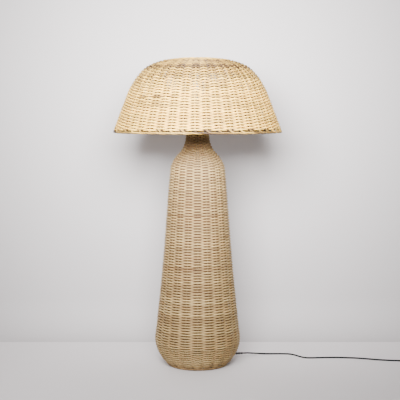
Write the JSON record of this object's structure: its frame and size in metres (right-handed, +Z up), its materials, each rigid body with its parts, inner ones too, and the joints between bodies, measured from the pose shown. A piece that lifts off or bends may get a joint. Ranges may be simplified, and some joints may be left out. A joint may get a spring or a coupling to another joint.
{
  "type": "floor lamp",
  "caption": "Bottle-shaped woven rattan floor lamp with a mushroom shade that lifts off its carrier, a screw bulb, and a flex with an inline rocker switch and plug.",
  "frame": {"origin": "on the floor, on the axis of the lamp, under the foot border", "axes": "+Z up along the lamp's axis, -Y to the front that the picture shows, +X to the side where the flex lies"},
  "size_m": [1.1439, 0.545, 1.0028],
  "materials": {
    "rattan": "natural peeled round core, dry, slightly fibrous",
    "rattan_border": "natural round core, darker honey tone",
    "rattan_stake": "natural round core",
    "plywood": "raw sanded",
    "iron": "as cast, dark",
    "zinc_steel": "zinc plated",
    "black_steel": "satin black powder coat",
    "holder_plastic": "satin black",
    "porcelain": "unglazed off-white",
    "brass": "plain",
    "bulb_cap": "bright",
    "bulb_insulator": "black glass-like",
    "opal_glass": "opal white, satin",
    "black_plastic": "fine texture",
    "flex": "smooth black sheath",
    "pin_metal": "nickel plated"
  },
  "bodies": {
    "lamp": {"base_weave": "rattan", "base_stake_frame": "rattan_stake", "base_foot_border": "rattan_border", "base_neck_border": "rattan_border", "base_board": "plywood", "ballast_plate": "iron", "centre_tube": "zinc_steel", "bottom_washer": "zinc_steel", "bottom_nut": "zinc_steel", "ballast_nut": "zinc_steel", "neck_plug": "plywood", "neck_plate": "black_steel", "neck_nut": "zinc_steel", "shade_carrier": "black_steel", "holder_cup": "holder_plastic", "holder_sleeve": "holder_plastic", "holder_insert": "porcelain", "holder_screw_shell": "brass", "holder_centre_contact": "brass", "cord_relief": "black_plastic", "inner_lead": "flex", "cord_run": "flex", "switch_lower": "black_plastic", "switch_upper": "black_plastic", "cord_tail": "flex", "cord_coil": "flex", "coil_tie": "black_plastic", "plug_lead": "flex", "plug_body": "black_plastic", "plug_pin_left": "pin_metal", "plug_pin_right": "pin_metal"},
    "shade": {"shade_weave": "rattan", "shade_stake_frame": "rattan_stake", "shade_border": "rattan_border", "shade_crown": "rattan_border", "shade_ring": "black_steel", "shade_spider": "black_steel"},
    "bulb": {"bulb_cap": "bulb_cap", "bulb_contact": "bulb_insulator", "bulb_globe": "opal_glass"},
    "rocker": {"switch_rocker": "black_plastic"}
  },
  "joints": [
    {"name": "shade_lift", "type": "slide", "parent": "lamp", "child": "shade", "axis": [0, 0, 1], "range_m": [0, 0.2]},
    {"name": "bulb_unscrew", "type": "hinge", "parent": "lamp", "child": "bulb", "pos_m": [0, 0, 0.84], "axis": [0, 0, 1], "range_deg": [0, 900]},
    {"name": "switch_rock", "type": "hinge", "parent": "lamp", "child": "rocker", "pos_m": [0.747, 0.0175, 0.0168], "axis": [0, 1, 0], "range_deg": [0, 14]}
  ]
}
